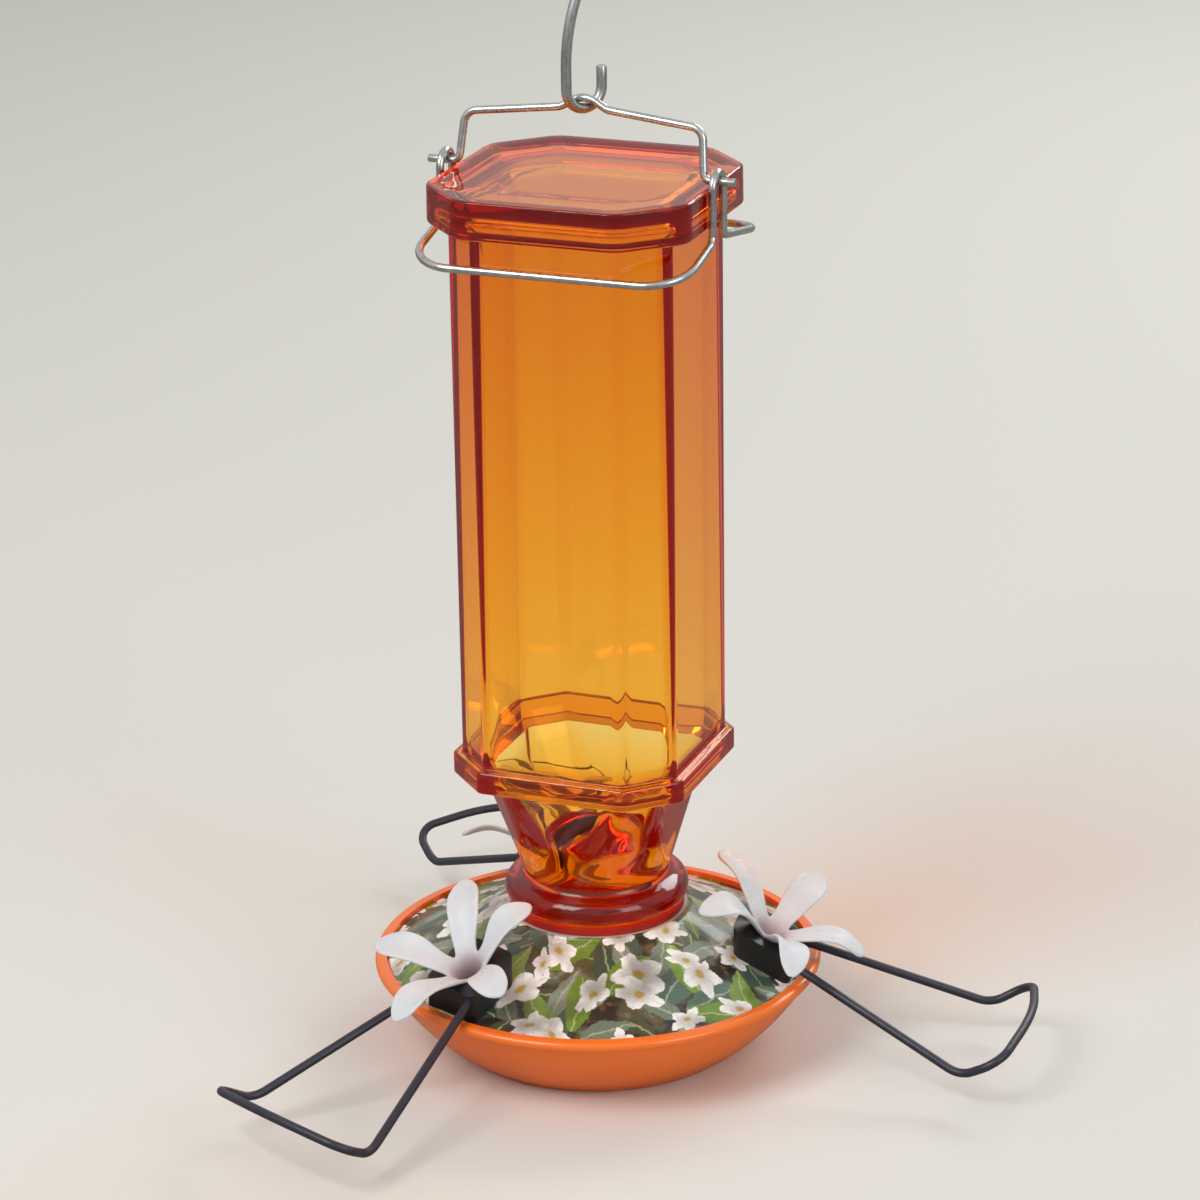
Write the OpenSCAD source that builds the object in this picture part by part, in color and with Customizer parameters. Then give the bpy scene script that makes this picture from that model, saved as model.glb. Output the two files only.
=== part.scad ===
// Oriole feeder: a square glass bottle standing mouth down in a nectar bowl,
// with a printed cover, blossom feeding ports, wire perches and a wire hanger.
// Millimetres. Z is up and the origin is at the middle of the bowl's flat foot.

/* [Bottle] */
// Width of the body across its flat faces
body_w = 67; // [60:1:76]
// Length that each chamfered corner takes off a face
corner_cut = 12; // [9:0.5:15]
// Height of the body between the flange and the plinth
body_h = 160.6; // [110:1:190]
// How far the plinth stands out past the body
plinth_over = 6.1; // [4:0.1:7.5]
// Thickness of the plinth
plinth_h = 11.4; // [9:0.2:18]
// How far the flange stands out past the body
flange_over = 2.5; // [1:0.1:4]
// Thickness of the flange
flange_h = 6.7; // [4:0.1:10]
// How far the funnel's top edge is set in from the body
funnel_in = 3.6; // [2:0.1:6]
// Height from the bead to the underside of the flange
funnel_h = 35.1; // [28:0.5:45]
// Thickness of the glass
glass = 3.2; // [2.4:0.1:3.6]
// Thickness of the glass behind the plinth's top
heel = 5.5; // [4.5:0.1:8]
// How far the hollow widens inside the plinth
heel_widen = 2.4; // [1:0.2:2.8]
// Depth of the hollow in the plinth's top
heel_dip = 1.2; // [0.4:0.1:2]
// Radius of the edges along the bottle's corners
edge_r = 3; // [1:0.5:5]
// Radius of the plinth's corners
plinth_r = 9; // [3:0.5:12]
// Softening of the plinth's and flange's edges
lip_r = 1.8; // [0.8:0.1:2.4]

/* [Neck] */
// Radius of the round bead above the screw neck
bead_r = 27.5; // [25.5:0.5:29]
// Height of the bead
bead_h = 8.5; // [6:0.5:11]
// Radius of the screw neck
neck_r = 22.3; // [20.5:0.1:23.5]
// Length of the screw neck below the bead
neck_len = 26; // [20:0.5:28]
// Radius of the way through the neck
neck_bore = 18; // [14:0.5:18.5]
// Thickness of the sealing ring
seal_t = 2; // [1:0.1:3]

/* [Bowl] */
// Radius over the bowl's rim
rim_r = 67; // [64:0.5:72]
// Height of the bowl
bowl_h = 26.9; // [25:0.1:36]
// How far the flat foot lies inside the rim
foot_in = 24; // [20:0.5:29]
// Width of the rim
rim_w = 3.5; // [3:0.1:5]
// Height of the band round the rim
band_h = 3; // [2:0.1:5]
// How far the band stands out past the wall
band_out = 1; // [0.4:0.1:1.6]
// Thickness of the bowl's wall and floor
bowl_wall = 2.2; // [1.6:0.1:3]
// How far the wall bulges past a straight slope
bulge = 2.2; // [1:0.1:4]

/* [Cover] */
// Thickness of the cover
cover_t = 2; // [1.6:0.1:2.6]
// How far the cover's flat edge lies below the rim
cover_sink = 1.3; // [0.6:0.1:2]
// Rise of the cover from its flat edge to the collar
cover_rise = 16.6; // [13:0.2:20]
// Width of the flat edge round the cover
cover_flat = 1.7; // [1:0.1:3]
// Radius of the collar under the sealing ring
collar_r = 28.5; // [27:0.5:30]
// Wall of the screw socket
socket_wall = 2.7; // [2:0.1:3.2]
// Height of the nectar windows in the socket
window_h = 9; // [6:0.5:10]
// Width of the nectar windows
window_w = 14; // [10:0.5:18]
// Number of nectar windows
window_count = 4; // [2:1:5]

/* [Ports] */
// Turn of the ports about the feeder's axis
port_turn = 5.7; // [0:0.1:20]
// How far the ports stand in from the bowl's rim
port_in = 16.8; // [15:0.2:19]
// Diameter of the feeding hole
feed_d = 6; // [5:0.1:6.4]
// Wall of the flower's stem
stem_wall = 1.3; // [1:0.1:1.5]
// How far the stem reaches under the cover
stem_reach = 4; // [2:0.5:6]
// How much longer a petal is than the way from its port to the bottle's bead
petal_over = 4.8; // [1:0.2:6]
// Widest half width of a petal
petal_half = 5.1; // [4:0.1:6]
// Thickness of a petal
petal_t = 1.3; // [1:0.1:1.6]
// Height of the petals' arch above the throat
petal_rise = 6.2; // [4:0.1:8]
// Turn of the petals about the flower's middle
petal_turn = 7; // [0:1:36]

/* [Perches] */
// Diameter of the perch wire
perch_wire = 2.6; // [2:0.1:3]
// Thickness of the perch block, square to the cover
block_t = 7.5; // [6.6:0.1:9]
// Width of the perch block
block_w = 21; // [20:0.5:24]
// Wall of the perch block on the inner side of the port
block_wall = 1.5; // [1.2:0.1:3]
// Distance between the perch wires where they leave the block
perch_root = 16.4; // [15.6:0.1:17]
// Distance between the perch wires at the bend
perch_span = 50.4; // [40:0.5:60]
// How far outside the bowl's rim the perch bends up
perch_reach = 48.7; // [33:0.5:58]
// Height of the perch wire at that bend
perch_low = 9.4; // [6:0.2:16]
// How far the perch's end lies outside the bend
perch_tip_out = 12.2; // [8:0.2:18]
// How far the perch's end lies above the bend
perch_tip_up = 7; // [3:0.2:12]
// How far the middle of the perch's bar bows out
perch_bow = 5; // [2:0.2:8]
// How much wider each end of the bar stands than the bend below it
perch_splay = 3; // [0:0.2:5]

/* [Hanger] */
// Diameter of the collar wire and the bail wire
hanger_wire = 2.3; // [1.8:0.1:2.6]
// Gap that the wires keep from the glass
wire_gap = 0.25; // [0.2:0.05:0.6]
// How far the collar wire hangs below the plinth
collar_drop = 9.6; // [7:0.1:13]
// Half the distance between an ear's two wires
ear_half = 4.4; // [3.6:0.1:5]
// How far the ears stand forward of the middle
ear_front = 4; // [0:0.2:6]
// Height of the bail's pivot above the plinth
pivot_up = 1.8; // [1.6:0.1:4]
// How far the bail's legs stand outside the body's faces
bail_out = 3.4; // [2:0.1:4.6]
// How far each end of the bail reaches past its leg
bail_end = 9.4; // [8:0.1:11]
// Height of the bail's corners above the pivot
bail_corner = 14.2; // [10:0.2:20]
// Height of the bail's shoulders above the pivot
bail_shoulder = 17.4; // [13:0.2:24]
// Height of the bail's peak above the pivot
bail_peak = 20.7; // [17:0.1:28]

/* [Hook] */
// Diameter of the hook's wire
hook_wire = 3; // [2.6:0.1:3.4]
// Radius of the hook's lower bend
hook_low_r = 5.9; // [5.5:0.1:7.5]
// Radius of the hook's upper bend
hook_top_r = 9.5; // [8:0.5:13]
// Height between the middles of the two bends
hook_span = 59.6; // [54:0.2:70]
// Turn of the hook's plane from the bail's plane
hook_turn = 54; // [40:1:90]

/* [Hidden] */
$fn = 96;
round_steps = 3;
// Thickness of a slice that only stands for a level
hair = 0.01;
// How far a cutting or joining solid runs past the faces that it meets
lap = 1;
// Longer than any piece
far = 400;

// Running gap between a moving piece and what it moves in
run_gap = 0.4;
// Gap in a hole that only holds a wire or a stem
fit_gap = 0.05;

// Heights of the stack, from the foot up
seat_z = bowl_h - cover_sink - cover_t;
cover_z = seat_z + cover_t;
collar_z = cover_z + cover_rise;
bead_z = collar_z + seal_t;
funnel_z = bead_z + bead_h;
flange_z = funnel_z + funnel_h;
body_z = flange_z + flange_h;
plinth_z = body_z + body_h;
top_z = plinth_z + plinth_h;
mouth_z = bead_z - neck_len;

// Bottle: the plain shank between the bead and the funnel, and the hollow's levels
shank_r = neck_r - 0.4;
funnel_fit = 0.07 * funnel_h;
throat_z = funnel_z + 9;
floor_z = body_z + 1.5;
ceiling_z = top_z - heel;
dish = plinth_over - lip_r - 3;
dish_slope = 3;

// Bowl wall: an arc from the foot to the middle of the band
wall_top = [rim_r - band_out, bowl_h - band_h / 2];
wall_foot = [rim_r - foot_in, 0];
chord = wall_top - wall_foot;
wall_r = (norm(chord) * norm(chord) / 4 + bulge * bulge) / (2 * bulge);
wall_mid = (wall_top + wall_foot) / 2 + [-chord[1], chord[0]] / norm(chord) * (wall_r - bulge);

// How far the sealing ring lies inside the collar
seal_in = 2.4;

// Cover cone and the port that stands square on it
cover_r = rim_r - rim_w - 0.3;
cone_r = cover_r - cover_flat;
port_r = rim_r - port_in;
slope = atan(cover_rise / (cone_r - collar_r));
port_z = cover_z + (cone_r - port_r) * tan(slope);
socket_r = neck_r + 0.5;
socket_z = bowl_wall + 2.8;
shelf_w = 2.6;
cover_edge = 0.4;

// Port pieces, measured along the port's own axis from the cover's face
stem_r = feed_d / 2 + stem_wall;
base_r = stem_r + 1.3;
base_w = block_t - 4;
throat_w = block_t + 1.5;
throat_r = feed_d / 2 + 2;
petal_r = port_r - bead_r + petal_over;
petal_from = throat_r + 0.5;
petal_top_at = 0.85 * petal_r;
petal_count = 5;
petal_steps = 12;

// Perch block along the slope, and the wire that leaves its outer face
block_out = cone_r - 0.5;
block_in = port_r - stem_r - run_gap - block_wall;
block_corner = 2.5;
wire_r = perch_wire / 2;
wire_cover = 0.8;
root_z = cover_z + (cone_r - block_out) * tan(slope) + (block_t - wire_r - wire_cover) / cos(slope);
perch_bend_r = rim_r + perch_reach;
perch_slope = (root_z - perch_low) / (perch_bend_r - block_out);
perch_flare = (perch_span - perch_root) / 2 / (perch_bend_r - block_out);
wire_hold = 4;
bend_low = 9;
bend_tip = 7;
bar_bend = 1.2 * perch_span;

// Hanger
hang_r = hanger_wire / 2;
ring_x = body_w / 2 + plinth_over + wire_gap + hang_r;
ring_y = body_w / 2 + wire_gap + hang_r;
ring_z = plinth_z - collar_drop;
ear_z = plinth_z - 3.3;
ring_bend = 13;
ear_bend = 3;
pivot_z = top_z + pivot_up;
bail_lean = asin(ear_front / bail_peak);
bail_half = body_w / 2 + bail_out;
leg_in = 1.2;
leg_bend = 2.2;
corner_bend = 4;
shoulder_bend = 5;
arch_half = 7;
bail_arch = 7;
arch_angle = atan((bail_peak - bail_shoulder) / arch_half);
hook_r = hook_wire / 2;
hook_gap = 0.7;
hook_tip = 5.5;
hook_end = 6;
stem_bend = 56;
stem_lean = 20;
hang_z = pivot_z + bail_peak * cos(bail_lean);

// Outline of the bottle: a square with chamfered, softened corners,
// moved outwards by the distance d
function half(d) = body_w / 2 + d;
function cut(d) = corner_cut + d * (2 - sqrt(2));
function corners(h, c) = [
    [h, c - h], [h, h - c], [h - c, h], [c - h, h],
    [-h, h - c], [-h, c - h], [c - h, -h], [h - c, -h]
];
function unit(v) = v / norm(v);
function soft_corner(before, at, after, r) =
    let (a = unit(before - at), b = unit(after - at),
         turn = 180 - acos(a * b), t = r * tan(turn / 2),
         mid = unit(a + b), c = at + mid * r / cos(turn / 2),
         start = atan2((at + a * t - c)[1], (at + a * t - c)[0]))
    [for (i = [0 : round_steps])
        c + r * [cos(start + turn * i / round_steps), sin(start + turn * i / round_steps)]];
module outline(d, r = edge_r) {
    p = corners(half(d), cut(d));
    polygon([for (i = [0 : 7]) each soft_corner(p[(i + 7) % 8], p[i], p[(i + 1) % 8], r)]);
}
module slice(z, d, r = edge_r) {
    translate([0, 0, z]) linear_extrude(hair) outline(d, r);
}

// A plate with the bottle's outline and softened upper and lower edges
module soft_plate(z, h, d, r = edge_r) {
    hull() for (a = [0 : 45 : 90]) {
        inset = lip_r * (1 - cos(a));
        rise = lip_r * (1 - sin(a));
        slice(z + rise, d - inset, r);
        slice(z + h - rise - hair, d - inset, r);
    }
}

module bottle() {
    color("darkorange") difference() {
        union() {
            soft_plate(plinth_z, plinth_h, plinth_over, plinth_r);
            translate([0, 0, body_z - lap]) linear_extrude(body_h + 2 * lap) outline(0);
            soft_plate(flange_z, flange_h, flange_over);
            hull() {
                slice(flange_z + lap, -funnel_in);
                translate([0, 0, funnel_z + funnel_fit]) cylinder(h = hair, r = shank_r, $fn = 48);
            }
            translate([0, 0, bead_z]) cylinder(h = bead_h + funnel_fit + hair, r = shank_r);
            rotate_extrude() bead_profile();
            translate([0, 0, mouth_z]) cylinder(h = neck_len + lap, r = neck_r);
        }
        bottle_hollow();
        hull() {
            slice(top_z - heel_dip, dish - dish_slope);
            slice(top_z + hair, dish);
        }
    }
}
module bottle_hollow() {
    translate([0, 0, floor_z]) linear_extrude(plinth_z + lap - floor_z) outline(-glass);
    hull() {
        slice(plinth_z, -glass);
        slice(plinth_z + heel_widen, heel_widen - glass);
        slice(ceiling_z - heel_widen, heel_widen - glass);
        slice(ceiling_z - hair, -glass);
    }
    hull() {
        slice(floor_z, -glass);
        translate([0, 0, throat_z]) cylinder(h = hair, r = neck_bore, $fn = 48);
    }
    translate([0, 0, mouth_z - lap]) cylinder(h = throat_z + lap - (mouth_z - lap), r = neck_bore);
}
module bead_profile() {
    r = bead_h / 2;
    translate([bead_r - r, bead_z + r]) circle(r);
    translate([neck_bore + lap, bead_z]) square([bead_r - r - neck_bore - lap, bead_h]);
}

module neck_seal() {
    color("dimgray") translate([0, 0, collar_z]) difference() {
        cylinder(h = seal_t, r = collar_r - seal_in);
        translate([0, 0, -lap]) cylinder(h = seal_t + 2 * lap, r = neck_r + run_gap);
    }
}

// Bowl: a shallow wall that bulges past its chord, a round band and a shelf for the cover
module bowl_section() {
    intersection() {
        translate(wall_mid) circle(wall_r, $fn = 360);
        polygon([[0, 0], wall_foot, [rim_r, 0], wall_top, [0, wall_top[1]]]);
    }
    translate([0, bowl_h - band_h]) square([rim_r - band_h / 2, band_h]);
    translate([rim_r - band_h / 2, bowl_h - band_h / 2]) circle(band_h / 2);
}
module bowl() {
    inner_r = wall_r - bowl_wall;
    color("orangered") rotate_extrude() difference() {
        bowl_section();
        difference() {
            intersection() {
                translate(wall_mid) circle(inner_r, $fn = 360);
                translate([0, bowl_wall]) square([cover_r - shelf_w, bowl_h]);
            }
            polygon([
                [cover_r - shelf_w, seat_z - 2 * shelf_w], [rim_r, seat_z - 2 * shelf_w],
                [rim_r, seat_z], [cover_r - shelf_w, seat_z]
            ]);
        }
        translate([0, seat_z]) square([rim_r - rim_w, bowl_h]);
        translate([-far, -far / 2]) square([far, far]);
    }
}

// Cover: flat edge, cone and collar, with the screw socket under it
module cover_section() {
    under = cover_t / cos(slope);
    polygon([
        [cover_r - cover_edge / 2, seat_z], [cover_r, seat_z + cover_edge / 2],
        [cover_r, cover_z - cover_edge], [cover_r - cover_edge, cover_z], [cone_r, cover_z],
        [collar_r, collar_z - cover_edge], [collar_r - cover_edge, collar_z], [socket_r, collar_z],
        [socket_r, socket_z], [socket_r + socket_wall, socket_z],
        [socket_r + socket_wall, collar_z - under - (socket_r + socket_wall - collar_r) * tan(slope)],
        [cone_r - 1.5 * cover_edge, seat_z]
    ]);
}
module cover() {
    color("darkseagreen") difference() {
        rotate_extrude() cover_section();
        for (i = [0 : window_count - 1]) rotate([0, 0, i * 360 / window_count])
            translate([0, -window_w / 2, socket_z - lap])
                cube([socket_r + socket_wall + lap, window_w, window_h + lap]);
        for (k = [0 : 2]) port(k)
            translate([0, 0, -2 * cover_t]) cylinder(h = 4 * cover_t, r = stem_r + run_gap);
    }
}

// Frame of a port: Z stands square on the cover and X points down its slope
module port(k) {
    rotate([0, 0, port_turn + 120 * k]) translate([port_r, 0, port_z]) rotate([0, slope, 0]) children();
}

// Perch block: a rounded block that follows the cover's cone above and below
module block_plan() {
    r = block_corner;
    block_len = block_out - block_in;
    translate([block_in, r - block_w / 2]) square([block_len, block_w - 2 * r]);
    translate([block_in + r, -block_w / 2]) square([block_len - 2 * r, block_w]);
    for (x = [block_in + r, block_out - r], y = [r - block_w / 2, block_w / 2 - r])
        translate([x, y]) circle(r);
}
module block_section() {
    rise = block_t / cos(slope);
    polygon([
        [cone_r, cover_z], [collar_r, collar_z], [collar_r, collar_z + rise], [cone_r, cover_z + rise]
    ]);
}
module perch_block(k) {
    color("dimgray") difference() {
        intersection() {
            rotate([0, 0, port_turn + 120 * k]) linear_extrude(far / 4) block_plan();
            rotate_extrude() block_section();
        }
        port(k) translate([0, 0, -lap]) cylinder(h = block_t + 2 * lap, r = stem_r + run_gap);
        port(k) translate([0, 0, base_w]) cylinder(h = block_t, r = base_r + run_gap);
        perch_sockets(k);
    }
}

// A bent wire, swept in one piece: straight runs between the points, with each
// inner point rounded by its own bend radius
wire_sides = 12;
bend_step = 16;
function toward(a, b) = unit(b - a);
function square_to(n, t) = unit(n - (n * t) * t);
function bend_arc(a, p, b, r) =
    let (u = toward(a, p), v = toward(p, b), turn = acos(min(1, u * v)))
    turn < 1 ? [[p, v]] :
    let (w = square_to(v, u), start = p - u * r * tan(turn / 2), n = ceil(turn / bend_step))
    [for (i = [0 : n]) let (q = turn * i / n)
        [start + r * (sin(q) * u + (1 - cos(q)) * w), cos(q) * u + sin(q) * w]];
function wire_path(p, bends) =
    let (last = len(p) - 1, all = concat(
        [[p[0], toward(p[0], p[1])]],
        [for (i = [1 : last - 1]) each bend_arc(p[i - 1], p[i], p[i + 1], bends[i])],
        [[p[last], toward(p[last - 1], p[last])]]))
    [for (i = [0 : len(all) - 1]) if (i == 0 || norm(all[i][0] - all[i - 1][0]) > hair) all[i]];
function wire_sideways(path) =
    let (t = path[0][1], first = abs(t[2]) < 0.9 ? [0, 0, 1] : [1, 0, 0])
    [for (i = 0, n = square_to(first, t); i < len(path);
          i = i + 1, n = i < len(path) ? square_to(n, path[i][1]) : n) n];
module bent_wire(p, bends, r) {
    path = wire_path(p, bends);
    side = wire_sideways(path);
    rings = len(path);
    m = wire_sides;
    polyhedron(
        points = [for (i = [0 : rings - 1], j = [0 : m - 1]) let (a = 360 * j / m)
            path[i][0] + r * (cos(a) * side[i] + sin(a) * cross(path[i][1], side[i]))],
        faces = concat(
            [[for (j = [0 : m - 1]) j]],
            [for (i = [0 : rings - 2], j = [0 : m - 1]) let (k = (j + 1) % m)
                [i * m + j, (i + 1) * m + j, (i + 1) * m + k, i * m + k]],
            [[for (j = [m - 1 : -1 : 0]) (rings - 1) * m + j]]
        )
    );
}

// Perch: both ends stand in the block, and the bar bows out between them
function perch_point(x, s) = [x, s * (perch_root / 2 + perch_flare * (x - block_out)),
                              root_z - perch_slope * (x - block_out)];
function perch_tip(s) = [perch_bend_r + perch_tip_out, s * (perch_span / 2 + perch_splay),
                         perch_low + perch_tip_up];
module perch_sockets(k) {
    for (s = [-1, 1]) rotate([0, 0, port_turn + 120 * k])
        translate(perch_point(block_out - wire_hold, s)) rotate([0, 0, s * atan(perch_flare)])
            rotate([0, 90 + atan(perch_slope * cos(atan(perch_flare))), 0])
                cylinder(h = 3 * wire_hold, r = wire_r + fit_gap);
}
module perch(k) {
    bar = [perch_bend_r + perch_tip_out + perch_bow, 0, perch_low + perch_tip_up + 0.7 * perch_bow];
    points = [
        perch_point(block_out - wire_hold, 1), perch_point(perch_bend_r, 1), perch_tip(1),
        bar,
        perch_tip(-1), perch_point(perch_bend_r, -1), perch_point(block_out - wire_hold, -1)
    ];
    color("midnightblue") rotate([0, 0, port_turn + 120 * k])
        bent_wire(points, [0, bend_low, bend_tip, bar_bend, bend_tip, bend_low, 0], wire_r);
}

// Flower: a hollow stem and throat, and petals cut from one arched dish
arch_r = (pow(petal_top_at - petal_from, 2) + petal_rise * petal_rise) / (2 * petal_rise);
arch_mid = [petal_top_at, throat_w + petal_rise - arch_r];
function petal_width(u) = (0.57 + 0.43 * sin(90 * min(1, u / 0.62))) * petal_half
    * (u < 0.6 ? 1 : sqrt(max(0, 1 - pow((u - 0.6) / 0.4, 2))));
module petal_plan() {
    root = petal_from - lap;
    function at(i) = let (u = i / petal_steps) [root + u * (petal_r - root), petal_width(u)];
    polygon(concat(
        [for (i = [0 : petal_steps]) at(i)],
        [for (i = [petal_steps - 1 : -1 : 0]) [at(i)[0], -at(i)[1]]]
    ));
}
module petals() {
    intersection() {
        rotate_extrude() intersection() {
            difference() {
                translate(arch_mid) circle(arch_r, $fn = 180);
                translate(arch_mid) circle(arch_r - petal_t, $fn = 180);
            }
            translate([throat_r, throat_w - petal_t])
                square([petal_r - throat_r, petal_rise + petal_t + lap]);
        }
        linear_extrude(far / 4) union() {
            circle(petal_from + lap);
            for (i = [0 : petal_count - 1])
                rotate([0, 0, petal_turn + i * 360 / petal_count]) petal_plan();
        }
    }
}
module flower(k) {
    tip_w = -cover_t - stem_reach;
    color("white") port(k) union() {
        rotate_extrude() polygon([
            [feed_d / 2, tip_w], [stem_r, tip_w], [stem_r, base_w], [base_r, base_w],
            [base_r, throat_w - petal_t - 0.6], [petal_from + 0.8, throat_w - petal_t + 0.3],
            [petal_from + 0.3, throat_w + 0.2], [throat_r, throat_w + 0.1], [feed_d / 2, throat_w - 4]
        ]);
        petals();
    }
}

// Collar: one wire round the bottle under the plinth, with an ear on each side,
// its two ends butted together at the back
module wire_collar() {
    butt_gap = 0.2;
    crown = hang_r + 0.3;
    ear_top = pivot_z + hang_r + crown;
    function ear(s) = [
        [s * ring_x, -ear_front - s * ear_half, ear_z], [s * ring_x, -ear_front - s * ear_half, ear_top],
        [s * ring_x, -ear_front + s * ear_half, ear_top], [s * ring_x, -ear_front + s * ear_half, ear_z]
    ];
    points = concat(
        [[-butt_gap / 2, ring_y, ring_z], [-ring_x, ring_y, ring_z]], ear(-1),
        [[-ring_x, -ring_y, ring_z], [ring_x, -ring_y, ring_z]], ear(1),
        [[ring_x, ring_y, ring_z], [butt_gap / 2, ring_y, ring_z]]
    );
    ear_bends = [ear_bend, ear_half, ear_half, ear_bend];
    bends = concat([0, ring_bend], ear_bends, [ring_bend, ring_bend], ear_bends, [ring_bend, 0]);
    color("silver") bent_wire(points, bends, hang_r);
}

// Bail: stands on the ears and leans back, so that its peak is over the middle
module bail() {
    apex = bail_peak + bail_arch * (1 / cos(arch_angle) - 1);
    points = [
        [-bail_half - bail_end, 0, 0], [-bail_half, 0, 0], [leg_in - bail_half, 0, bail_corner],
        [-arch_half, 0, bail_shoulder], [0, 0, apex], [arch_half, 0, bail_shoulder],
        [bail_half - leg_in, 0, bail_corner], [bail_half, 0, 0], [bail_half + bail_end, 0, 0]
    ];
    bends = [0, leg_bend, corner_bend, shoulder_bend, bail_arch, shoulder_bend, corner_bend, leg_bend, 0];
    color("silver") translate([0, -ear_front, pivot_z]) rotate([-bail_lean, 0, 0])
        bent_wire(points, bends, hang_r);
}

// Hook: two bends in one plane, joined by a stem that crosses between them
module s_hook() {
    low = -hang_r - hook_gap - hook_r;
    mid_z = low + hook_low_r;
    top_mid = mid_z + hook_span;
    reach = (hook_top_r * cos(stem_lean) + hook_low_r) / tan(stem_lean);
    knee = top_mid - hook_top_r * sin(stem_lean) - reach;
    part_turn = (180 + stem_lean) / 3;
    corner_r = hook_top_r / cos(part_turn / 2);
    function top_corner(i) = let (a = -stem_lean + part_turn * (i + 0.5))
        [corner_r * cos(a), 0, top_mid + corner_r * sin(a)];
    points = [
        [hook_low_r, 0, mid_z + hook_tip], [hook_low_r, 0, low], [-hook_low_r, 0, low],
        [-hook_low_r, 0, knee], top_corner(0), top_corner(1), top_corner(2),
        [-hook_top_r, 0, top_mid - hook_end]
    ];
    bends = [0, hook_low_r, hook_low_r, stem_bend, hook_top_r, hook_top_r, hook_top_r, 0];
    color("lightgray") translate([0, 0, hang_z]) rotate([0, 0, hook_turn]) bent_wire(points, bends, hook_r);
}

bowl();
cover();
neck_seal();
bottle();
wire_collar();
bail();
s_hook();
perch_block(0);  // perch_block_1
perch_block(1);  // perch_block_2
perch_block(2);  // perch_block_3
perch(0);  // perch_1
perch(1);  // perch_2
perch(2);  // perch_3
flower(0);  // flower_1
flower(1);  // flower_2
flower(2);  // flower_3
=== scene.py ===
# %% [markdown]
# # The looks of an oriole feeder
#
# A square glass bottle stands mouth down in a round orange bowl. A printed cover closes the bowl, white
# blossoms are its feeding ports, and bent wires are its perches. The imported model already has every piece
# at its real size, so this notebook gives the pieces their surfaces, and models anew those that need finer
# forms than a plain solid has: the bottle, the blossoms and the bent wires. Lengths below are in millimetres
# and are turned into metres by one factor, so that they can be read beside a ruler.

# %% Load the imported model
from math import asin, atan2, cos, degrees, pi, radians, sin, sqrt, tan

import bmesh
import bpy
from mathutils import Matrix, Vector


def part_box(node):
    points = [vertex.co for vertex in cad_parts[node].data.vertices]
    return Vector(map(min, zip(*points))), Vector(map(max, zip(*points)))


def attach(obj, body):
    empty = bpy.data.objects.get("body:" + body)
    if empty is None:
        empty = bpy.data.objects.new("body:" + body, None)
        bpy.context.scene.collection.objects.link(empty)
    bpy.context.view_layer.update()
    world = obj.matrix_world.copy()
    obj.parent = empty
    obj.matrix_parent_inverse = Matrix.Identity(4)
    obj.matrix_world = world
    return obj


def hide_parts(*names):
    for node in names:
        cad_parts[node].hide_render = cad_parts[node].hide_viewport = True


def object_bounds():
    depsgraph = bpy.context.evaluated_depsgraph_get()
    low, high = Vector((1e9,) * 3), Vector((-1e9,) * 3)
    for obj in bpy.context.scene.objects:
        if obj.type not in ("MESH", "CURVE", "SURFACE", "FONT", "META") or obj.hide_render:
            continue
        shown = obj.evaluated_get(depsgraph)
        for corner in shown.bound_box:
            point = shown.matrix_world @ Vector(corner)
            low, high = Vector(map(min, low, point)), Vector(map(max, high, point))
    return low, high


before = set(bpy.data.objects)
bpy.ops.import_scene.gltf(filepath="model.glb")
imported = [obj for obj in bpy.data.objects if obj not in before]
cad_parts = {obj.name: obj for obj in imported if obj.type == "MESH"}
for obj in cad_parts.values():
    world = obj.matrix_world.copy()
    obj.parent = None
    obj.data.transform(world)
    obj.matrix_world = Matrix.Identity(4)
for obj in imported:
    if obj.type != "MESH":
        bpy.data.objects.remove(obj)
cad_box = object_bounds()
MM = 0.001
low, high = (corner / MM for corner in cad_box)
print("feeder, mm:", [round(side, 1) for side in high - low])

# %% [markdown]
# ## Camera
#
# The camera stands where the photograph was taken from: a little to the right of the front and about twenty
# degrees above. Its distance and lens were found by matching the bottle's corners and the bowl's rim, which
# fixes both the view and the perspective. The axes are built from those angles, and the camera needs no
# target.

# %% Camera
view_turn = radians(21.299)
view_rise = radians(20.145)
view_roll = radians(-0.891)
stand = Vector((438.85, -1119.55, 579.20))

back = Vector((cos(view_rise) * sin(view_turn), -cos(view_rise) * cos(view_turn), sin(view_rise)))
level = Vector((cos(view_turn), sin(view_turn), 0))
rise = back.cross(level)
right = cos(view_roll) * level + sin(view_roll) * rise
up = cos(view_roll) * rise - sin(view_roll) * level

lens = bpy.data.cameras.new("photo_camera")
lens.lens = 131.455
lens.sensor_width = 36
camera = bpy.data.objects.new("photo_camera", lens)
camera.matrix_world = Matrix.Translation(stand * MM) @ Matrix((right, up, back)).transposed().to_4x4()
bpy.context.scene.collection.objects.link(camera)
bpy.context.scene.camera = camera
print("camera to bowl, mm:", round(stand.length))

# %% [markdown]
# ## Nodes in a line or two
#
# A shader tree in code is mostly the same two steps: add a node, then set or link its inputs. One helper
# does both. A value that is itself a socket is linked, and anything else is written into the socket. The
# second is for the arithmetic that patterns need, and the others are steps that come up again and again.

# %% Helpers for shader trees
def put(tree, kind, inputs=None, **settings):
    """Adds a shader node with its settings, and sets or links its inputs."""
    node = tree.nodes.new("ShaderNode" + kind)
    for key, value in settings.items():
        setattr(node, key, value)
    for key, value in (inputs or {}).items():
        if isinstance(value, bpy.types.NodeSocket):
            tree.links.new(value, node.inputs[key])
        else:
            node.inputs[key].default_value = value
    return node


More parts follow.
